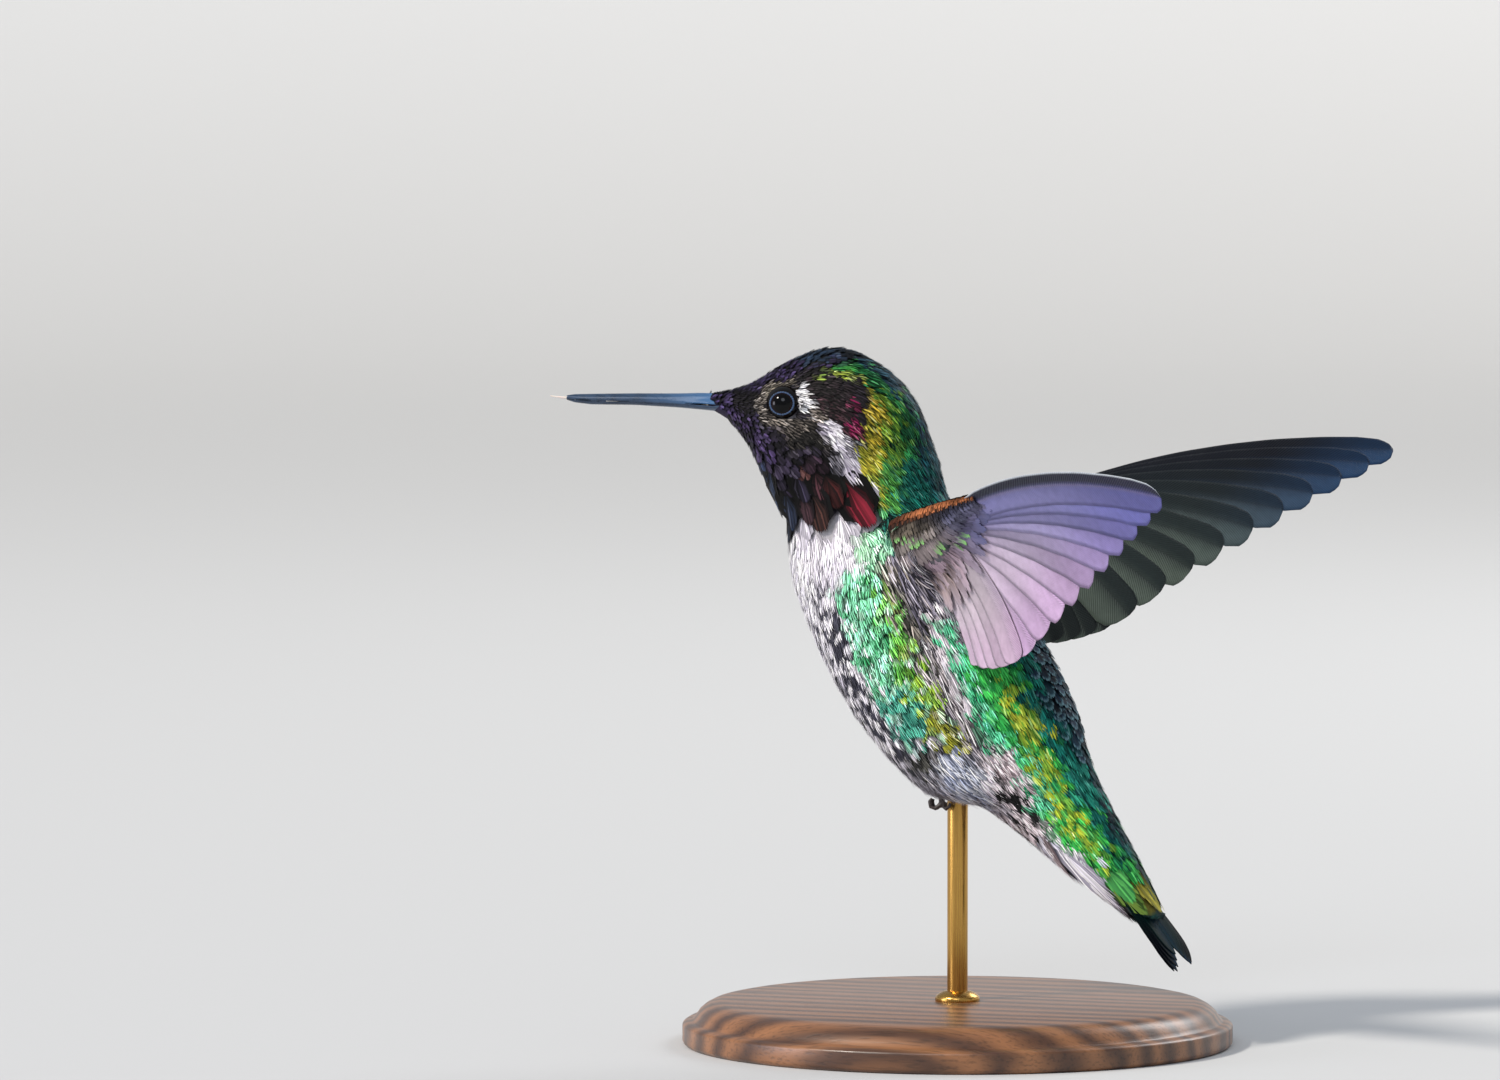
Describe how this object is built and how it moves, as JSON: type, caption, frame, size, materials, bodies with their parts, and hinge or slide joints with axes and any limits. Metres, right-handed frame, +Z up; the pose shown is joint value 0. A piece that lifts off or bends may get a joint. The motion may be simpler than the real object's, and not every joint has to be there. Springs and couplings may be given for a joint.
{
  "type": "anna's hummingbird display model",
  "caption": "Life-size adult male Anna's hummingbird hovering with its wings swept back, held over a round wooden base by a brass rod.",
  "frame": {"origin": "centre of the round base's underside, on the rod's axis", "axes": "+Z up, -X towards the bird's front, -Y towards the bird's left"},
  "size_m": [0.088, 0.0884, 0.0812],
  "materials": {
    "plumage": "iridescent green, violet and grey body feathers",
    "flight_feathers": "smooth slate and lavender vanes",
    "tail_feathers": "smooth blue-black vanes with a soft sheen",
    "bill": "glossy slate-black horn",
    "tongue": "pale, moist",
    "eye": "glossy black-brown",
    "foot": "dark scaly skin",
    "wood": "dark turned hardwood, satin varnish",
    "brass": "satin brass"
  },
  "bodies": {
    "root": {"head": "plumage", "neck": "plumage", "trunk": "plumage", "tail_coverts": "plumage", "tail": "tail_feathers", "bill_upper": "bill", "bill_lower": "bill", "tongue": "tongue", "eye_left": "eye", "wing_arm_left": "plumage", "primaries_left": "flight_feathers", "secondaries_left": "flight_feathers", "foot_left": "foot", "eye_right": "eye", "wing_arm_right": "plumage", "primaries_right": "flight_feathers", "secondaries_right": "flight_feathers", "foot_right": "foot", "stand_base": "wood", "stand_rod": "brass"}
  },
  "joints": []
}
